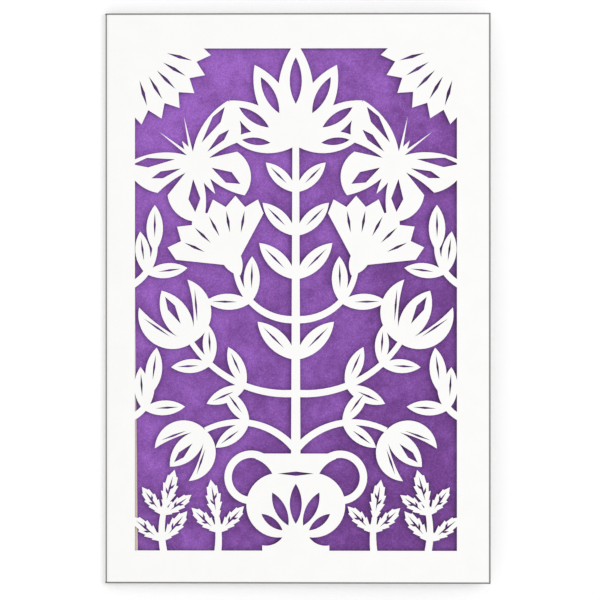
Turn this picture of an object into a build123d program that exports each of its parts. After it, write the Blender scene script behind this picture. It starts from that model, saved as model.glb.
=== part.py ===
"""Laser-cut greeting card: a folded sheet of white board whose front leaf is cut into lace, with a
pearly purple sheet held close behind the lace by two adhesive strips.

The card lies closed on its back leaf. X runs from the fold to the free edges, Y up the card and Z up
from the table. The origin is the middle of the resting face. All lengths are in millimetres.
"""

import os
from math import cos, radians, sin

from build123d import *

# The folded board
card_width = 115.0
card_height = 170.0
board = 0.4
leaf_gap = 2.2  # between the two leaves at the fold
opening_angle = 1.5  # degrees that the front leaf springs up

# The window in the front leaf, by the margins round it
margin_fold = 9.0
margin_free = 10.0
margin_top = 10.5
margin_bottom = 9.8

# The coloured sheet behind the lace, and the adhesive strips between it and the front leaf
sheet_thickness = 0.2
sheet_overlap = 5.0  # past the window all round
strip_thickness = 1.5
strip_width = 4.0
strip_inset = 1.5  # from the sheet's top and bottom edges
strip_skew = 0.6  # degrees by which the fold-side strip lies out of true

# The lines and leaves of the lace
stem_width = 2.2
twig_width = 1.6
trunk_width = 2.8
slit_width = 0.65
leaf_length = 14.0
leaf_share = 0.35  # a leaf's width over its length
leaf_spread = 45.0  # degrees between a leaf and its stem

# The lace is drawn on squared paper that stretches to the window, so this many squares fill it.
# X counts squares from the window's middle line and Y from its lower edge.
columns = 96
rows = 150

window_width = card_width - margin_fold - margin_free
window_height = card_height - margin_top - margin_bottom
square = window_width / columns
right = columns / 2
top = rows

fold_inner = leaf_gap / 2
fold_outer = fold_inner + board
leaf_reach = card_width - fold_outer
fold_centre = Vector(fold_outer - card_width / 2, fold_outer)  # in the XZ section
tilt = radians(opening_angle)
cover_plane = Plane(
    origin=(fold_centre.X - fold_inner * sin(tilt), 0, fold_centre.Y + fold_inner * cos(tilt)),
    x_dir=(cos(tilt), 0, sin(tilt)),
    z_dir=(-sin(tilt), 0, cos(tilt)),
)
window_centre = Vector(
    margin_fold + window_width / 2 - fold_outer,
    margin_bottom + window_height / 2 - card_height / 2,
)

paper = []
cuts = []


def at(point):
    """Where a point of the drawing falls on the window, measured from the window's middle."""
    return Vector(point.X * window_width / columns, (point.Y / rows - 0.5) * window_height)


def ray(angle, length):
    """The step of that length at that many degrees anticlockwise of X."""
    return Vector(length, 0).rotate(Axis.Z, angle)


def patch(corners, bows=None, turn=1):
    """The face inside lines from corner to corner, each bowed outward by its share of its length.
    The corners run anticlockwise, or clockwise where turn is -1."""
    corners = [Vector(corner) for corner in corners]
    bows = bows or [0] * len(corners)
    with BuildSketch(mode=Mode.PRIVATE) as face:
        with BuildLine():
            for start, end, bow in zip(corners, corners[1:] + corners[:1], bows):
                middle = (start + end) / 2 + (end - start).rotate(Axis.Z, -90 * turn) * bow
                if bow:
                    ThreePointArc(at(start), at(middle), at(end))
                else:
                    Line(at(start), at(end))
        make_face()
    return face.sketch


def slit(start, end, width=slit_width / square, peak=0.5):
    """A four-cornered cut from start to end, widest at the peak's share of its length."""
    start, end = Vector(start), Vector(end)
    across = (end - start).normalized().rotate(Axis.Z, 90) * width / 2
    middle = start + (end - start) * peak
    cuts.append(patch([start, middle - across, end, middle + across]))


def eyelet(start, end, share=0.3):
    """A pointed oval cut from start to end."""
    cuts.append(patch([start, end], [share / 2, share / 2]))


def leaf(foot, angle, size=1.0):
    """A leaf with a slit along its middle."""
    foot, along = Vector(foot), ray(angle, leaf_length * size / square)
    paper.append(patch([foot, foot + along], [leaf_share / 2, leaf_share / 2]))
    slit(foot + along * 0.3, foot + along * 0.85)


def toothed_leaf(foot, angle, size=1.0, teeth=4):
    """A leaf with a toothed edge and a cut along its veins."""
    along = ray(angle, leaf_length * size / square)
    across = along.rotate(Axis.Z, 90) * leaf_share
    edges = {-1: [], 1: []}
    for number in range(1, teeth + 1):
        share = number / (teeth + 1)
        for side, edge in edges.items():
            for depth in (1, 0.72):
                reach = 2.2 * share * (1 - share) * depth
                edge.append(foot + along * (share + 0.04) + across * side * reach)
    paper.append(patch([foot] + edges[-1] + [foot + along] + edges[1][::-1]))
    slit(foot + along * 0.25, foot + along * 0.85)
    for side, share in ((-1, 0.38), (1, 0.5)):
        slit(foot + along * share, foot + along * (share + 0.17) + across * side * 0.28)


def stem(start, middle, end, width=stem_width, end_width=stem_width):
    """A stem along an arc, and that arc."""
    path = ThreePointArc(start, middle, end)
    sides = []
    for side in (-1, 1):
        edge = []
        for share in (0, 0.5, 1):
            half = (width + (end_width - width) * share) / 2 / square
            edge.append(at(path @ share + (path % share).rotate(Axis.Z, 90 * side) * half))
        sides.append(edge)
    with BuildSketch(mode=Mode.PRIVATE) as face:
        with BuildLine():
            ThreePointArc(*sides[0])
            Line(sides[0][2], sides[1][2])
            ThreePointArc(*sides[1])
            Line(sides[1][0], sides[0][0])
        make_face()
    paper.append(face.sketch)
    return path


def bough(start, middle, end, shares, size=1.0, kind=leaf, tip=True):
    """A stem with a pair of leaves at each share of its length, and a leaf on its end."""
    path = stem(start, middle, end, end_width=twig_width)
    for share in shares:
        for side in (-1, 1):
            angle = path.tangent_angle_at(share) + side * leaf_spread
            kind(path @ share, angle, size * (1 - 0.2 * share))
    if tip:
        kind(path @ 0.9, path.tangent_angle_at(1), size)


def tulip(foot, angle, length):
    """A tulip of three petals."""
    foot = Vector(foot)
    paper.append(patch([foot, foot + ray(angle, length * 0.95)], [0.22, 0.22]))
    slit(foot + ray(angle, length * 0.35), foot + ray(angle, length * 0.84), length * 0.13, 0.6)
    for side in (-1, 1):
        tip = foot + ray(angle + side * 26, length)
        paper.append(patch([foot, tip], [0.34, -0.06], -side))
        slit(foot + ray(angle + side * 44, length * 0.35), foot + ray(angle + side * 33, length * 0.85))


def carnation(foot, angle, length, spread=56, teeth=6):
    """A fan with a toothed edge over a pointed calyx."""
    foot = Vector(foot)
    rim = [foot]
    for number in range(2 * teeth + 1):
        turn = angle - spread + spread * number / teeth
        rim.append(foot + ray(turn, length if number % 2 else length * 0.85))
    paper.append(patch(rim))
    for number in range(1, teeth):
        turn = angle - spread + 2 * spread * number / teeth
        slit(foot + ray(turn, length * 0.48), foot + ray(turn, length * 0.8), length * 0.04)
    paper.append(patch([foot - ray(angle, length * 0.15), foot + ray(angle, length * 0.4)], [0.25, 0.25]))


def lotus(foot, angle, length, share=0.34):
    """A petal with a pointed oval cut in it."""
    foot = Vector(foot)
    paper.append(patch([foot, foot + ray(angle, length)], [share / 2, share / 2]))
    eyelet(foot + ray(angle, length * 0.4), foot + ray(angle, length * 0.85), 0.26)


def butterfly(centre, angle, span):
    """A butterfly seen from above, with its head towards the angle and cut-out wings."""
    centre = Vector(centre)
    for side in (-1, 1):

        def spot(across, along):
            """A point of this side of the butterfly, in shares of its span."""
            return centre + ray(angle, span * along) + ray(angle + 90 * side, span * across)

        upper_wing = [spot(0, 0), spot(0, 0.1), spot(0.5, 0.34), spot(0.4, 0)]
        lower_wing = [spot(0, 0.06), spot(0.34, -0.06), spot(0.2, -0.4)]
        feeler = [spot(0, 0.14), spot(0.03, 0.14), spot(0.12, 0.42)]
        paper.append(patch(upper_wing, [0, 0.12, 0.14, -0.06], side))
        paper.append(patch(lower_wing, [0, 0.22, 0.1], side))
        paper.append(patch(feeler))
        slit(spot(0.13, 0.16), spot(0.45, 0.31), span * 0.08, 0.65)
        slit(spot(0.13, 0.07), spot(0.38, 0.13), span * 0.06, 0.65)
        slit(spot(0.09, -0.06), spot(0.22, -0.3), span * 0.1, 0.6)
    paper.append(patch([centre - ray(angle, span * 0.26), centre + ray(angle, span * 0.26)], [0.08, 0.08]))


def vase():
    """The right half of a footed vase with a handle and a fan of cuts."""
    outline = [(0, -2), (10, -2), (10, 1.6), (4, 4), (7, 23), (12, 27.4), (12, 29), (0, 29)]
    paper.append(patch(outline, [0, 0, -0.15, 0.48, -0.1, 0, 0, 0]))
    stem((9.5, 27.7), (20, 23.5), (14, 15))
    root = Vector(0, 3)
    for angle, reach in ((90, 17), (64, 16), (38, 13)):
        eyelet(root + ray(angle, 5), root + ray(angle, reach))
    slit((-5.4, 23), (5.4, 23), 1.3)


def trunk():
    """The upright stem with its pairs of leaves, and the right half of the lotus on its top."""
    half = trunk_width / 2 / square
    foot, head = 27, 125
    paper.append(patch([(half, foot), (half * 0.7, head), (-half * 0.7, head), (-half, foot)]))
    for height, size in ((57, 1.15), (81, 1.1), (94, 1), (107, 0.9)):
        leaf((0, height), leaf_spread, size)
    for angle, length in ((90, 31), (63, 27), (34, 24), (6, 19)):
        lotus((0, 121), angle, length)


# The right half of the drawing: the tree in its vase
vase()
trunk()
bough((0, 30), (13, 38), (27, 36), (0.55,), tip=False)
tulip((27, 36), -46, 16)
bough((0, 47), (17, 50), (31, 62), (0.42, 0.76), tip=False)
tulip((31, 62), 60, 19)
bough((0, 69), (12, 73), (18, 85), (0.55,), 1.1, tip=False)
carnation((18, 85), 62, 21)
butterfly((29, 114.5), 58, 36)

# Shoots that grow from the frame
bough((23.5, -2), (23, 4), (23.5, 10), (0.6,), 0.9, toothed_leaf)
bough((right - 9, -2), (right - 8, 6), (right - 9, 13.5), (0.3, 0.8), 0.9, toothed_leaf)
bough((right + 3, 39), (right - 3, 43), (right - 5, 48), (0.5,))
bough((right + 4, 78), (right - 4, 84), (right - 6, 91), (0.5,))
carnation((right + 2, top + 2), 225, 25, spread=43)

with BuildSketch() as half_drawing:
    add(paper)
    add(cuts, mode=Mode.SUBTRACT)
with BuildSketch() as drawing:
    add(half_drawing.sketch)
    mirror(about=Plane.YZ)
with BuildSketch() as openings:
    Rectangle(window_width, window_height)
    add(drawing.sketch, mode=Mode.SUBTRACT)

# The card: the back leaf and the fold as one section, and the front leaf with its openings
with BuildPart() as card:
    with BuildSketch(Plane.XZ):
        with BuildLine():
            inner = CenterArc(fold_centre, fold_inner, 90 + opening_angle, 180 - opening_angle)
            outer = CenterArc(fold_centre, fold_outer, 90 + opening_angle, 180 - opening_angle)
            Line(inner @ 0, outer @ 0)
            Polyline(inner @ 1, (card_width / 2, board), (card_width / 2, 0), outer @ 1)
        make_face()
    extrude(amount=card_height / 2, both=True)
    with BuildSketch(cover_plane):
        with Locations((leaf_reach / 2, 0)):
            Rectangle(leaf_reach, card_height)
        with Locations(window_centre):
            add(openings.sketch, mode=Mode.SUBTRACT)
    extrude(amount=board)

# The coloured sheet, one strip's thickness behind the front leaf
sheet_plane = cover_plane.offset(-strip_thickness)
with BuildPart() as coloured_sheet:
    with BuildSketch(sheet_plane):
        with Locations(window_centre):
            Rectangle(window_width + 2 * sheet_overlap, window_height + 2 * sheet_overlap)
    extrude(amount=-sheet_thickness)

# The adhesive strips: the one by the fold lies a little askew, so its lower end shows in the window
strip_length = window_height + 2 * (sheet_overlap - strip_inset)
with BuildPart() as fold_side_strip:
    with BuildSketch(sheet_plane):
        with Locations(window_centre - Vector((window_width + strip_width) / 2, 0)):
            Rectangle(strip_width, strip_length, rotation=strip_skew)
    extrude(amount=strip_thickness)
with BuildPart() as free_side_strip:
    with BuildSketch(sheet_plane):
        with Locations(window_centre + Vector((window_width + sheet_overlap) / 2, 0)):
            Rectangle(strip_width, strip_length)
    extrude(amount=strip_thickness)

os.makedirs("parts", exist_ok=True)
card.part.label = "card"
coloured_sheet.part.label = "coloured_sheet"
fold_side_strip.part.label = "fold_side_strip"
free_side_strip.part.label = "free_side_strip"
export_step(card.part, "parts/card.step")
export_step(coloured_sheet.part, "parts/coloured_sheet.step")
export_step(fold_side_strip.part, "parts/fold_side_strip.step")
export_step(free_side_strip.part, "parts/free_side_strip.step")
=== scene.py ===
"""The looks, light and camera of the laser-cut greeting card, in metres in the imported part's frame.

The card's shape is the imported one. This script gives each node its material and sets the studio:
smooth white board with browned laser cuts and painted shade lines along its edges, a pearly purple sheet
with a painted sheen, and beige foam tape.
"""

import bpy
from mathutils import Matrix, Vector


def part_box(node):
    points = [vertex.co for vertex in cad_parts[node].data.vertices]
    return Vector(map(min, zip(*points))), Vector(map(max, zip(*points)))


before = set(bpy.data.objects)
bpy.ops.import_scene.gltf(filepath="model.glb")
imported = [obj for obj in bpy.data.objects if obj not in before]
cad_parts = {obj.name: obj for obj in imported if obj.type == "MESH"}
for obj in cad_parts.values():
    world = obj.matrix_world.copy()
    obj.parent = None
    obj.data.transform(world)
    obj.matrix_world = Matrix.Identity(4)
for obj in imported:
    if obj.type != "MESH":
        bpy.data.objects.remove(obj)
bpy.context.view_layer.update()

mm = 0.001

# The painted shade line along the board's cut sides, in millimetres: full as far as its core, gone at its
# width
edge_shade_core = 0.33
edge_shade_width = 0.55
free_side_shade_extra = 0.1  # wider at the free side, where the key light falls stronger, by this

# The painted shade line on the fold's upper shoulder and the raised fibres, in millimetres in from the
# fold, and the fold's own radius
fold_shade_start = 0.13
fold_shade_end = 0.6
fold_shade_blur = 0.1
fibres_end = 1.8
fold_radius = 1.5

# Painted sheen: the purple sheet grows lighter by these shares for each millimetre
sheen_upwards = 0.0033
sheen_leftwards = 0.0065

# The photograph's frame, in its pixels: the card's middle lies a little left of the frame's and above it
pixel = 0.2982 * mm
picture_pixels = 600
card_left_of_middle = 2.35
card_above_middle = 1.65
picture_level = 0.6  # of the card's height, where the pixel has its size
sensor = 36.0
lens = 250.0
view_reach = 20.0

white = (1, 1, 1, 1)

floor_color = (0.8, 0.8, 0.8, 1)
floor_half = 1.5
floor_depth = 0.05 * mm
floor_lift = 0.24  # makes the lit floor plain white to the camera

# The level at which a colour renders about as it is written
sky_level = 0.8
key_power = 10.5
key_place = Vector((1.0, 0.25, 1.7))
key_size = 0.9


class Nodes:
    """Short names for the nodes of one material or world."""

    def __init__(self, owner, output="OutputMaterial"):
        owner.use_nodes = True
        self.owner = owner
        self.tree = owner.node_tree
        self.tree.nodes.clear()
        self.output = self.node(output)

    def join(self, source, target):
        """Joins an output to an input, or sets the input where the source is a plain value."""
        if isinstance(source, bpy.types.NodeSocket):
            self.tree.links.new(source, target)
        else:
            target.default_value = source

    def node(self, kind, sources=None, **settings):
        """A new node, with the sources joined to its inputs by their name or number."""
        made = self.tree.nodes.new("ShaderNode" + kind)
        for key, value in settings.items():
            setattr(made, key, value)
        for name, source in (sources or {}).items():
            self.join(source, made.inputs[name])
        return made

    def finish(self, kind, sources):
        """Makes the last shader, gives it to the output and returns the material or world."""
        shader = self.node(kind, sources)
        self.join(shader.outputs[0], self.output.inputs["Surface"])
        return self.owner

    def place(self):
        """The point's place in millimetres."""
        place = self.node("TexCoord").outputs["Object"]
        return self.node("VectorMath", {0: place, "Scale": 1 / mm}, operation="SCALE").outputs[0]

    def facing(self):
        """The direction that the surface faces."""
        return self.node("NewGeometry").outputs["Normal"]

    def axes(self, vector):
        """The three numbers of a vector."""
        return self.node("SeparateXYZ", {0: vector}).outputs

    def spread(self, value):
        """The value in all three places of a vector."""
        return self.node("CombineXYZ", {0: value, 1: value, 2: value}).outputs[0]

    def math(self, operation, first, second=0.0):
        return self.node("Math", {0: first, 1: second}, operation=operation).outputs[0]

    def vector(self, operation, first, second=(0.0, 0.0, 0.0)):
        return self.node("VectorMath", {0: first, 1: second}, operation=operation).outputs[0]

    def ranged(self, value, low, high, to_low=0.0, to_high=1.0):
        """The value moved from one range to another and held inside it."""
        sources = {"Value": value, "From Min": low, "From Max": high, "To Min": to_low, "To Max": to_high}
        return self.node("MapRange", sources, clamp=True).outputs["Result"]

    def within(self, value, low, high):
        """1 where the value lies between the two limits, and 0 elsewhere."""
        above = self.math("GREATER_THAN", value, low)
        below = self.math("LESS_THAN", value, high)
        return self.math("MULTIPLY", above, below)

    def mix(self, share, first, second):
        """The first colour, replaced by the second as the share grows from 0 to 1."""
        return self.node("Mix", {"Factor": share, 6: first, 7: second}, data_type="RGBA").outputs[2]

    def noise(self, place, size, detail=2.0, roughness=0.5):
        """Noise from 0 to 1 whose blotches are about size millimetres across."""
        sources = {"Vector": place, "Scale": 1 / size, "Detail": detail, "Roughness": roughness}
        return self.node("TexNoise", sources).outputs["Fac"]

    def cells(self, place, size):
        """A random colour for each flake of about size millimetres."""
        return self.node("TexVoronoi", {"Vector": place, "Scale": 1 / size}).outputs["Color"]

    def bump(self, height, depth, strength, normal=None):
        """A normal from a height of 0 to 1 that is worth depth millimetres."""
        sources = {"Strength": strength, "Distance": depth * mm, "Height": height}
        if normal is not None:
            sources["Normal"] = normal
        return self.node("Bump", sources).outputs["Normal"]

    def seen_directly(self):
        """1 for a camera, glossy or transmission ray, and 0 for the rays that light the object."""
        rays = self.node("LightPath").outputs
        shiny = self.math("MAXIMUM", rays["Is Glossy Ray"], rays["Is Transmission Ray"])
        return self.math("MAXIMUM", rays["Is Camera Ray"], shiny)


def box_mm(name):
    """A node's lowest and highest corners in millimetres."""
    low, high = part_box(name)
    return low / mm, high / mm


def cut_walls(nodes, x, y):
    """1 on the walls of the lace, the board's only upright faces over the coloured sheet."""
    low, high = box_mm("coloured_sheet")
    levelness = nodes.math("ABSOLUTE", nodes.axes(nodes.facing())[2])
    upright = nodes.ranged(levelness, 0.75, 0.45)
    over_sheet = nodes.math("MULTIPLY", nodes.within(x, low.x, high.x), nodes.within(y, low.y, high.y))
    return nodes.math("MULTIPLY", upright, over_sheet)


def painted_edge_shade(nodes, x, y):
    """1 on a thin painted shade line along the board's three cut sides."""
    high = box_mm("card")[1]
    from_free_side = nodes.math("SUBTRACT", high.x - free_side_shade_extra, x)
    from_ends = nodes.math("SUBTRACT", high.y, nodes.math("ABSOLUTE", y))
    return nodes.ranged(nodes.math("MINIMUM", from_free_side, from_ends), edge_shade_width, edge_shade_core)


def painted_fold_shade(nodes, from_fold, z):
    """1 on a thin painted shade line along the fold's upper shoulder."""
    started = nodes.ranged(from_fold, fold_shade_start, fold_shade_start + fold_shade_blur)
    not_ended = nodes.ranged(from_fold, fold_shade_end, fold_shade_end - fold_shade_blur)
    upper = nodes.math("GREATER_THAN", z, fold_radius)
    return nodes.math("MULTIPLY", upper, nodes.math("MULTIPLY", started, not_ended))


def white_board():
    """Smooth matte board with a faint fibre mottle.

    Its cuts are browned, thin painted shade lines run along its outer edges and the fold's upper
    shoulder, and its fold is fibrous.
    """
    dull_white = (0.94, 0.934, 0.918, 1)
    clean_white = (0.962, 0.957, 0.945, 1)
    dark_scorch = (0.15, 0.095, 0.06, 1)
    light_scorch = (0.30, 0.21, 0.14, 1)
    # The grey of the painted shade lines
    shade_grey = (0.178, 0.172, 0.162, 1)
    streak_squeeze = (1.0, 0.12, 1.0)

    nodes = Nodes(bpy.data.materials.new("white_board"))
    place = nodes.place()
    x, y, z = nodes.axes(place)
    from_fold = nodes.math("SUBTRACT", x, box_mm("card")[0].x)
    fibres = nodes.noise(place, size=0.35, detail=3.0, roughness=0.6)
    clouds = nodes.noise(place, size=6.0)

    mottle = nodes.math("ADD", nodes.math("MULTIPLY", fibres, 0.5), nodes.math("MULTIPLY", clouds, 0.5))
    face_color = nodes.mix(nodes.ranged(mottle, 0.35, 0.65), dull_white, clean_white)
    scorch = nodes.mix(nodes.noise(place, size=0.8), dark_scorch, light_scorch)
    lace_color = nodes.mix(cut_walls(nodes, x, y), face_color, scorch)
    # Painted shade: thin dark lines along the cut sides and on the fold's upper shoulder
    painted_shade_lines = nodes.math("MAXIMUM", painted_edge_shade(nodes, x, y), painted_fold_shade(nodes, from_fold, z))
    color = nodes.mix(painted_shade_lines, lace_color, shade_grey)

    # The bent fibres raise short streaks along the fold
    along_fold = nodes.vector("MULTIPLY", place, streak_squeeze)
    streaks = nodes.noise(along_fold, size=0.3, detail=3.0)
    at_fold = nodes.math("MULTIPLY", streaks, nodes.ranged(from_fold, fibres_end, 0.0))
    fine = nodes.bump(fibres, depth=0.012, strength=0.6)
    uneven = nodes.bump(clouds, depth=0.03, strength=0.4, normal=fine)
    return nodes.finish("BsdfPrincipled", {
        "Base Color": color,
        "Normal": nodes.bump(at_fold, depth=0.12, strength=0.8, normal=uneven),
        "Roughness": nodes.ranged(fibres, 0.3, 0.7, to_low=0.62, to_high=0.74),
        "Specular IOR Level": 0.35,
    })


def pearl_paper():
    """Purple paper with a pearly coat: tiny flakes of mica, and a painted sheen that makes it lighter
    towards its upper left.
    """
    deep_purple = (0.147, 0.024, 0.25, 1)
    light_purple = (0.315, 0.105, 0.53, 1)
    pale_glint = (0.8, 0.7, 0.9, 1)
    flake_tilt = 0.12

    nodes = Nodes(bpy.data.materials.new("pearl_paper"))
    place = nodes.place()
    flakes = nodes.cells(place, size=0.28)
    grain = nodes.noise(place, size=0.5, detail=4.0, roughness=0.65)
    clouds = nodes.noise(place, size=6.0, detail=4.0, roughness=0.6)

    x, y = nodes.axes(place)[:2]
    # Painted sheen, lighter upwards and leftwards, mixed with a random cloudy tone
    sheen_rise = nodes.math("MULTIPLY", y, sheen_upwards)
    painted_sheen = nodes.math("SUBTRACT", sheen_rise, nodes.math("MULTIPLY", x, sheen_leftwards))
    sheen_and_clouds = nodes.math("ADD", painted_sheen, nodes.ranged(clouds, 0.32, 0.68, to_low=0.15, to_high=0.85))
    base = nodes.mix(nodes.ranged(sheen_and_clouds, 0.0, 1.0), deep_purple, light_purple)

    red, green = nodes.axes(flakes)[:2]
    glint = nodes.math("MULTIPLY", red, green)
    shimmer = nodes.math("ADD", nodes.math("MULTIPLY", grain, 0.7), nodes.math("MULTIPLY", glint, 0.3))
    level = nodes.ranged(shimmer, 0.2, 0.7, to_low=0.72, to_high=1.26)
    shaded = nodes.vector("MULTIPLY", base, nodes.spread(level))

    even_tilt = nodes.vector("SUBTRACT", flakes, (0.5, 0.5, 0.5))
    tilt = nodes.vector("MULTIPLY", even_tilt, (flake_tilt, flake_tilt, flake_tilt))
    tilted = nodes.vector("NORMALIZE", nodes.vector("ADD", nodes.facing(), tilt))
    return nodes.finish("BsdfPrincipled", {
        "Base Color": nodes.mix(nodes.ranged(shimmer, 0.3, 0.7, to_high=0.035), shaded, pale_glint),
        "Normal": nodes.bump(grain, depth=0.01, strength=0.5, normal=tilted),
        "Roughness": nodes.ranged(grain, 0.3, 0.7, to_low=0.36, to_high=0.5),
        "Metallic": 0.3,
        "Coat Weight": 0.05,
        "Coat Roughness": 0.35,
    })


def foam_tape():
    """Beige foam tape with fine open cells."""
    deep_beige = (0.61, 0.505, 0.42, 1)
    light_beige = (0.75, 0.645, 0.555, 1)

    nodes = Nodes(bpy.data.materials.new("adhesive_strip"))
    foam = nodes.noise(nodes.place(), size=0.3, detail=3.0, roughness=0.7)
    return nodes.finish("BsdfPrincipled", {
        "Base Color": nodes.mix(nodes.ranged(foam, 0.35, 0.7), deep_beige, light_beige),
        "Normal": nodes.bump(foam, depth=0.05, strength=0.8),
        "Roughness": nodes.ranged(foam, 0.3, 0.7, to_low=0.75, to_high=0.9),
        "Specular IOR Level": 0.3,
    })


def dress(name, material):
    """Gives a node its material."""
    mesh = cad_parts[name].data
    mesh.materials.clear()
    mesh.materials.append(material)


def add_object(name, data):
    """Puts a new object into the scene."""
    made = bpy.data.objects.new(name, data)
    bpy.context.collection.objects.link(made)
    return made


def make_floor():
    """A plain white floor that keeps the card's shadow."""
    nodes = Nodes(bpy.data.materials.new("floor"))
    diffuse = nodes.node("BsdfDiffuse", {"Color": floor_color}).outputs[0]
    strength = nodes.math("MULTIPLY", nodes.seen_directly(), floor_lift)
    lift = nodes.node("Emission", {"Strength": strength}).outputs[0]
    mesh = bpy.data.meshes.new("floor")
    sides = ((-1, -1), (1, -1), (1, 1), (-1, 1))
    corners = [(x * floor_half, y * floor_half, -floor_depth) for x, y in sides]
    mesh.from_pydata(corners, [], [(0, 1, 2, 3)])
    mesh.materials.append(nodes.finish("AddShader", {0: diffuse, 1: lift}))
    add_object("floor", mesh)


def make_sky():
    """An even white sky, seen as plain white."""
    nodes = Nodes(bpy.data.worlds.new("studio"), output="OutputWorld")
    lit = nodes.node("Background", {"Color": white, "Strength": sky_level}).outputs[0]
    seen = nodes.node("Background", {"Color": white, "Strength": 1.0}).outputs[0]
    bpy.context.scene.world = nodes.finish("MixShader", {0: nodes.seen_directly(), 1: lit, 2: seen})


def make_key():
    """A large soft light from the right."""
    lamp = bpy.data.lights.new("key", "AREA")
    lamp.shape = "SQUARE"
    lamp.size = key_size
    lamp.energy = key_power
    key = add_object("key", lamp)
    key.location = key_place
    key.rotation_euler = (-key_place).to_track_quat("-Z", "Y").to_euler()
    key.visible_camera = False


def make_camera():
    """Straight down on the card, through a long lens."""
    data = bpy.data.cameras.new("camera")
    data.lens = lens
    data.sensor_width = sensor
    data.clip_end = view_reach
    distance = picture_pixels * pixel * lens / sensor
    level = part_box("card")[1].z * picture_level
    camera = add_object("camera", data)
    camera.location = (card_left_of_middle * pixel, -card_above_middle * pixel, distance + level)
    bpy.context.scene.camera = camera


tape = foam_tape()
dress("card", white_board())
dress("coloured_sheet", pearl_paper())
dress("fold_side_strip", tape)
dress("free_side_strip", tape)
make_floor()
make_sky()
make_key()
make_camera()
bpy.context.scene.view_settings.view_transform = "Standard"
